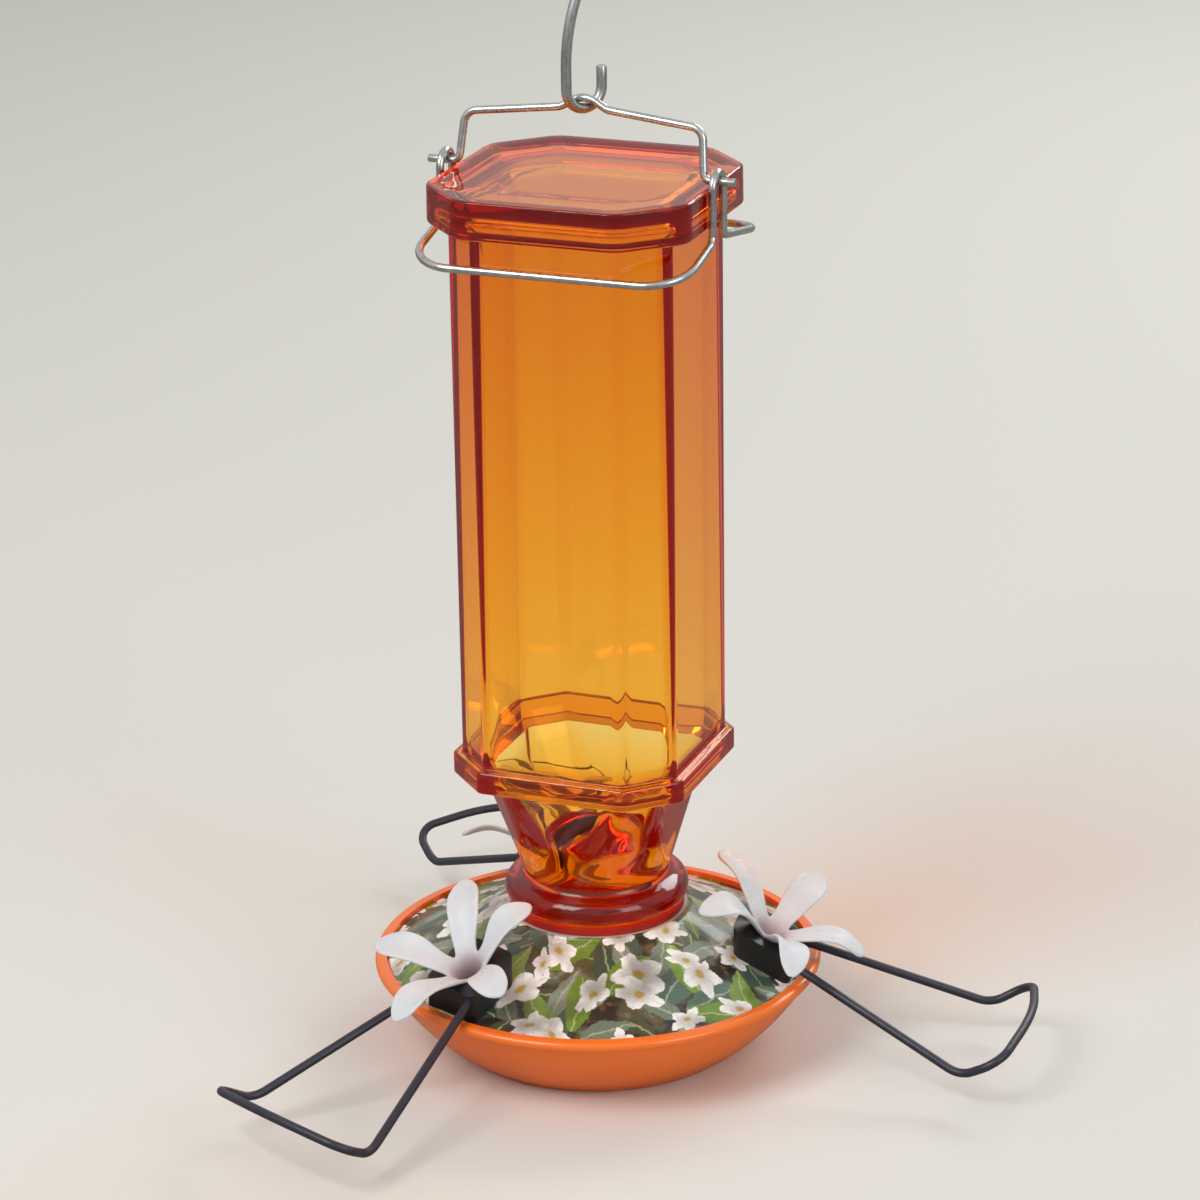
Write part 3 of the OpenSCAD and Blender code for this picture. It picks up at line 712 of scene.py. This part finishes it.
for spacing, start, length, half_width in ((20.0, 140.0, 8.6, 2.9), (17.0, 215.0, 7.4, 2.5)):
    x, y, shade_pick, keep_pick = stamp(tree, drawn, spacing, 0.85, start)
    size = calc(tree, "MULTIPLY_ADD", another(tree, shade_pick, 17.0), 0.55, 0.8)
    squeeze = calc(tree, "MULTIPLY_ADD", another(tree, keep_pick, 31.0), 0.9, 1.0)
    x_drawn = calc(tree, "MULTIPLY", x, size)
    y_drawn = calc(tree, "MULTIPLY", calc(tree, "MULTIPLY", y, size), squeeze)
    petals, centre, crease, outwards = blossom_stamp(tree, x_drawn, y_drawn, length, half_width)
    tone = blend_colour(tree, outwards, srgb(206, 204, 196), srgb(246, 246, 242))
    streaked = calc(tree, "MULTIPLY", soft_step(tree, streaks, 0.5, 0.7), 0.35)
    tone = blend_colour(tree, streaked, tone, srgb(188, 190, 196))
    tone = blend_colour(tree, calc(tree, "MULTIPLY", crease, 0.25), tone, srgb(178, 172, 160))
    tone = blend_colour(tree, centre, tone, srgb(184, 150, 66))
    shown = calc(tree, "MULTIPLY", petals, soft_step(tree, keep_pick, 0.34, 0.36))
    colour = blend_colour(tree, shown, colour, tone)
wash = noise(tree, where, 60.0, 2.0)
shaded = calc(tree, "MULTIPLY", soft_step(tree, wash, 0.46, 0.66), 0.52)
colour = blend_colour(tree, shaded, colour, srgb(44, 40, 30))
height = put(tree, "SeparateXYZ", {0: where}).outputs[2]
flat = put(tree, "VectorMath", {0: where, 1: (1, 1, 0)}, operation="MULTIPLY").outputs[0]
radius = length_of(tree, flat)
cone_top = calc(tree, "MULTIPLY_ADD", radius, -tan(slope), (port_z + port_at * tan(slope)) * MM)
edge_top = calc(tree, "MAXIMUM", cone_top, (cover_high.z - cover_rise) * MM)
on_top = soft_step(tree, calc(tree, "SUBTRACT", height, edge_top), -0.9 * MM, -0.5 * MM)
colour = blend_colour(tree, on_top, srgb(186, 184, 172), colour)
tree.links.new(colour, surface.inputs["Base Color"])
give(printed, "cover")

# %% [markdown]
# ## Moulded plastic
#
# The bowl is a glossy, slightly waxy orange whose colour drifts softly. A thin coat over a duller base gives
# it two glosses, as moulded plastic has. The blocks that hold the wires are a plain satin black.

# %% Bowl, blocks and sealing ring
bowl_orange, tree, surface = new_material("bowl_orange", Coat_Weight=0.35, Coat_Roughness=0.12)
drift = noise(tree, object_point(tree), 30.0, 3.0)
orange = blend_colour(tree, drift, srgb(242, 106, 20), srgb(250, 124, 28))
tree.links.new(orange, surface.inputs["Base Color"])
add_grain(tree, surface, size=0.5, drift=14, roughness=0.32, spread=0.12, depth=0.012)
give(bowl_orange, "bowl")

block_black, tree, surface = new_material("block_black", Specular_IOR_Level=0.5)
surface.inputs["Base Color"].default_value = srgb(20, 20, 22)
add_grain(tree, surface, size=0.35, drift=5, roughness=0.42, spread=0.15, depth=0.02)
give(block_black, *(f"perch_block_{k}" for k in (1, 2, 3)))

seal_rubber, tree, surface = new_material("seal_rubber", Specular_IOR_Level=0.3)
surface.inputs["Base Color"].default_value = srgb(170, 38, 28)
add_grain(tree, surface, size=0.3, drift=4, roughness=0.6, spread=0.1, depth=0.02)
give(seal_rubber, "neck_seal")

# %% [markdown]
# ## Bent wire
#
# The hanger and the perches are wire, which is shaped on a bender: it is fed straight on, held against a
# round pin, and turned about it. A curve with a bevel could stand for that, but its bends would only be as
# round as its handles. The helper below makes the bender's own two moves instead. A ring, the wire's section,
# is extruded along each straight run and spun about the pin at each bend, so every bend is a true arc. The
# cut ends get a small rounding, because a cropped wire never keeps a perfect edge.

# %% The wire bender
BEND_STEP = radians(7)
BEND_LENGTH = 2.5
WIRE_SIDES = 20
NO_TRAVEL = 0.0025
CROP = 0.25


def open_end(geometry):
    """The edges of the ring at which a wire ends."""
    return [g for g in geometry if isinstance(g, bmesh.types.BMEdge) and len(g.link_faces) == 1]


def feed(bm, ring, travel):
    """Pushes the wire's end straight on by a vector in mm."""
    if travel.length < NO_TRAVEL:
        return ring
    grown = bmesh.ops.extrude_edge_only(bm, edges=ring)["geom"]
    verts = [g for g in grown if isinstance(g, bmesh.types.BMVert)]
    bmesh.ops.translate(bm, verts=verts, vec=travel * MM)
    return open_end(grown)


def bend_wire(corners, radii, thickness):
    """A wire through the corners, in mm, with each inner corner rounded to its own radius."""
    corners = [Vector(c) for c in corners]
    heading = (corners[1] - corners[0]).normalized()
    start = Matrix.Translation(corners[0] * MM) @ heading.to_track_quat("Z", "Y").to_matrix().to_4x4()
    bm = bmesh.new()
    bmesh.ops.create_circle(bm, segments=WIRE_SIDES, radius=thickness / 2 * MM, matrix=start)
    ring = list(bm.edges)
    ends = bmesh.ops.contextual_create(bm, geom=ring)["faces"]
    at = corners[0]
    for corner, after, radius in zip(corners[1:-1], corners[2:], radii):
        leaving = (after - corner).normalized()
        turn = heading.angle(leaving)
        back_off = radius * tan(turn / 2)
        ring = feed(bm, ring, corner - heading * back_off - at)
        pin = corner - heading * back_off + (leaving - heading * heading.dot(leaving)).normalized() * radius
        steps = max(2, round(turn / BEND_STEP), round(turn * radius / BEND_LENGTH))
        spun = bmesh.ops.spin(
            bm, geom=ring, cent=pin * MM, axis=heading.cross(leaving).normalized(), angle=turn, steps=steps
        )
        ring = open_end(spun["geom_last"])
        at = corner + leaving * back_off
        heading = leaving
    ring = feed(bm, ring, corners[-1] - at)
    ends += bmesh.ops.contextual_create(bm, geom=ring)["faces"]
    rims = [edge for face in ends for edge in face.edges]
    bmesh.ops.bevel(bm, geom=rims, offset=CROP * MM, affect="EDGES", segments=2, profile=0.5, material=-1)
    bmesh.ops.recalc_face_normals(bm, faces=bm.faces)
    return bm


def bent_piece(corners, radii, thickness, node, material, body):
    """Bends a wire, and lets it stand for a node of the CAD model."""
    wire = piece(bend_wire(corners, radii, thickness), "bent_" + node, material, body)
    wire.data.set_sharp_from_angle(angle=radians(40))
    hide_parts(node)
    print(wire.name, "faces:", len(wire.data.polygons))


# %% [markdown]
# The hanger's wires are galvanised: bright zinc with a soft, streaky gloss. The perches are the same kind of
# wire under a dark powder coat, whose skin has a slight orange peel.

# %% Wire materials
zinc, tree, surface = new_material("galvanised", Metallic=1.0)
bloom = noise(tree, object_point(tree), 420.0, 3.0)
bright = blend_colour(tree, bloom, srgb(150, 152, 154), srgb(214, 216, 216))
tree.links.new(bright, surface.inputs["Base Color"])
add_grain(tree, surface, size=0.5, drift=2.5, roughness=0.27, spread=0.3, depth=0.02)

coated, tree, surface = new_material("powder_coat", Specular_IOR_Level=0.5)
worn = noise(tree, object_point(tree), 260.0, 3.0)
navy = blend_colour(tree, worn, srgb(26, 26, 38), srgb(46, 47, 64))
tree.links.new(navy, surface.inputs["Base Color"])
add_grain(tree, surface, size=0.45, drift=4, roughness=0.4, spread=0.2, depth=0.03)

# %% [markdown]
# The hanger is three wires. One goes round the bottle under the plinth and rises into an upright ear on each
# side. The bail's two ends stand in the ears, and it leans back so that its peak is over the middle. The hook
# hangs its lower bend in that peak, and its stem crosses over to the larger bend that carries it all.

# %% Bend the hanger's wires
wire_r = 1.15
glass_gap = 0.25
ring_x, ring_y = body_half + plinth_over + glass_gap + wire_r, body_half + glass_gap + wire_r
ring_z, ear_low = plinth_z - 9.6, plinth_z - 3.3
ear_front, ear_half = 4.0, 4.4
pivot_z = top_z + 1.8
ear_gap = 0.3
ear_top = pivot_z + 2 * wire_r + ear_gap
butt = 0.1


def ear(side):
    """The four corners of one ear, going up, over the pivot and down."""
    near, far = -ear_front - side * ear_half, -ear_front + side * ear_half
    rising = ((near, ear_low), (near, ear_top), (far, ear_top), (far, ear_low))
    return [(side * ring_x, y, z) for y, z in rising]


round_bottle = [(-butt, ring_y, ring_z), (-ring_x, ring_y, ring_z), *ear(-1), (-ring_x, -ring_y, ring_z)]
round_bottle += [(ring_x, -ring_y, ring_z), *ear(1), (ring_x, ring_y, ring_z), (butt, ring_y, ring_z)]
ear_bends, corner_bend = [3, ear_half, ear_half, 3], 13
bends = [corner_bend, *ear_bends, corner_bend]
bent_piece(round_bottle, bends + bends, 2 * wire_r, "wire_collar", zinc, "bottle")

bail_half, bail_tip = 36.9, 46.3
bail_corner, bail_shoulder, bail_peak = (35.7, 14.2), (7.0, 17.4), 20.7
peak_bend = 7
arch_turn = atan2(bail_peak - bail_shoulder[1], bail_shoulder[0])
apex = bail_peak + peak_bend / cos(arch_turn) - peak_bend
half_bail = [(bail_tip, 0), (bail_half, 0), bail_corner, bail_shoulder]
arch = [(-x, z) for x, z in half_bail] + [(0, apex)] + half_bail[::-1]
bail_lean = asin(ear_front / bail_peak)
stand_up = Matrix.Translation((0, -ear_front, pivot_z)) @ Matrix.Rotation(-bail_lean, 4, "X")
bends = [2.2, 4, 5, peak_bend, 5, 4, 2.2]
arch = [stand_up @ Vector((x, 0, z)) for x, z in arch]
bent_piece(arch, bends, 2 * wire_r, "bail", zinc, "bail")

hook_r, low_bend, top_bend, hook_span = 1.5, 5.9, 9.5, 59.6
stem_lean, hook_turn = radians(20), radians(54)
low_end = -wire_r - 0.7 - hook_r
top_mid = low_end + low_bend + hook_span
knee = top_mid - top_bend * sin(stem_lean) - (top_bend * cos(stem_lean) + low_bend) / tan(stem_lean)
parts = 3
part = (pi + stem_lean) / parts
shape = [(low_bend, low_end + low_bend + 5.5), (low_bend, low_end), (-low_bend, low_end), (-low_bend, knee)]
for i in range(parts):
    a = part * (i + 0.5) - stem_lean
    corner_r = top_bend / cos(part / 2)
    shape.append((corner_r * cos(a), top_mid + corner_r * sin(a)))
shape.append((-top_bend, top_mid - 6))
hang_z = pivot_z + bail_peak * cos(bail_lean)
swing = Matrix.Translation((0, 0, hang_z)) @ Matrix.Rotation(hook_turn, 4, "Z")
bends = [low_bend, low_bend, 56] + [top_bend] * parts
shape = [swing @ Vector((x, 0, z)) for x, z in shape]
bent_piece(shape, bends, 2 * hook_r, "s_hook", zinc, "hook")

# %% [markdown]
# Each perch is one wire too. Its two legs spread as they go out and down, turn up, and the bar between them
# bows outwards, so that a bird has a level place to stand. The three are alike, a third of a turn apart.

# %% Bend the perches
perch_wire = 2.6
block_face = cone_r - 0.5
root_half, bend_half, bend_out, bend_low = 8.2, 25.2, 115.7, 9.4
tip_out, tip_half, tip_up, bow = 12.2, 28.2, 7.0, 5.0
cover_edge_z = cover_high.z - cover_rise
block_t, wire_cover = 7.5, 0.8
root_z = cover_edge_z + 0.5 * tan(slope) + (block_t - perch_wire / 2 - wire_cover) / cos(slope)
leg = Vector((bend_out - block_face, bend_half - root_half, bend_low - root_z))
root = Vector((block_face, root_half, root_z))
wire_held = 4.0
wire_start = root - leg * wire_held / leg.x
one_side = [wire_start, root + leg, Vector((bend_out + tip_out, tip_half, bend_low + tip_up))]
bar = Vector((bend_out + tip_out + bow, 0, bend_low + tip_up + 0.7 * bow))
other_side = [Vector((p.x, -p.y, p.z)) for p in reversed(one_side)]
bends = [9, 7, 2.4 * bend_half, 7, 9]
for k in range(3):
    around = Matrix.Rotation(port_turn + 2 * pi / 3 * k, 4, "Z")
    corners = [around @ corner for corner in one_side + [bar] + other_side]
    bent_piece(corners, bends, perch_wire, f"perch_{k + 1}", coated, "top")

# %% [markdown]
# ## Floor, light and world
#
# The floor and the world are one pale tone, so that the horizon hardly shows. Clear glass takes its
# brightness from what is behind it. So where the floor is seen through the glass, it glows a little, whiter
# near the feeder and warmer farther off, and where a glossy surface mirrors it, it is darker. A large soft
# lamp stands to the left, a second fills from the right, and a strip behind draws the edges of the glass.

# %% Stage
pale = srgb(236, 235, 230)
bm = bmesh.new()
bmesh.ops.create_grid(bm, x_segments=8, y_segments=8, size=6)
mesh = bpy.data.meshes.new("floor")
bm.to_mesh(mesh)
bm.free()
floor = bpy.data.objects.new("floor", mesh)
bpy.context.scene.collection.objects.link(floor)
floor_paint, tree, surface = new_material("floor_paint", Roughness=0.9, Specular_IOR_Level=0.1)
path = put(tree, "LightPath").outputs
in_gloss = calc(tree, "MULTIPLY", path["Is Glossy Ray"], 0.6)
paint = blend_colour(tree, in_gloss, srgb(226, 225, 220), srgb(70, 68, 62))
tree.links.new(paint, surface.inputs["Base Color"])
from_feeder = length_of(tree, object_point(tree))
far_off = put(tree, "MapRange", {"Value": from_feeder, "From Min": 0.2, "From Max": 1.2}).outputs[0]
tone = blend_colour(tree, far_off, (1.0, 0.99, 0.88, 1), (1.0, 0.83, 0.72, 1))
strength = calc(tree, "MULTIPLY_ADD", far_off, -0.3, 1.05)
glow = put(tree, "Emission", {"Color": tone, "Strength": strength})
through = calc(tree, "MULTIPLY", path["Is Transmission Ray"], 0.8)
lit = put(tree, "MixShader", {0: through, 1: surface.outputs[0], 2: glow.outputs[0]})
tree.links.new(lit.outputs[0], tree.nodes["Material Output"].inputs["Surface"])
mesh.materials.append(floor_paint)

world = bpy.data.worlds.new("pale_world")
world.use_nodes = True
tree = world.node_tree
path = put(tree, "LightPath").outputs
height = put(tree, "SeparateXYZ", {0: put(tree, "TexCoord").outputs["Generated"]}).outputs[2]
low_band = soft_step(tree, height, 0.02, 0.3)
mirrored = calc(tree, "MULTIPLY_ADD", low_band, 0.35, 0.5)
behind = calc(tree, "MULTIPLY_ADD", low_band, 0.3, 0.16)
plain = calc(tree, "MULTIPLY_ADD", path["Is Transmission Ray"], behind, 0.46)
chosen = put(tree, "Mix", {0: path["Is Glossy Ray"], 2: plain, 3: mirrored})
sky = tree.nodes["Background"]
sky.inputs["Color"].default_value = pale
tree.links.new(chosen.outputs[0], sky.inputs["Strength"])
bpy.context.scene.world = world


def softbox(name, place_at, aim_at, size, power):
    """An area lamp that looks at a point; lengths in metres."""
    data = bpy.data.lights.new(name, "AREA")
    data.shape = "RECTANGLE"
    data.size, data.size_y = size
    data.energy = power
    lamp = bpy.data.objects.new(name, data)
    lamp.location = place_at
    lamp.rotation_euler = (Vector(aim_at) - Vector(place_at)).to_track_quat("-Z", "Y").to_euler()
    bpy.context.scene.collection.objects.link(lamp)


softbox("key", (-0.55, -1.1, 1.4), (0, 0, 0.12), (0.9, 0.9), 17)
softbox("fill", (1.5, -0.7, 0.9), (0, 0, 0.12), (0.8, 1.0), 8)
softbox("rim", (0.4, 1.5, 1.1), (0, 0, 0.15), (1.2, 0.5), 11)

view = bpy.context.scene.view_settings
view.view_transform = "Standard"
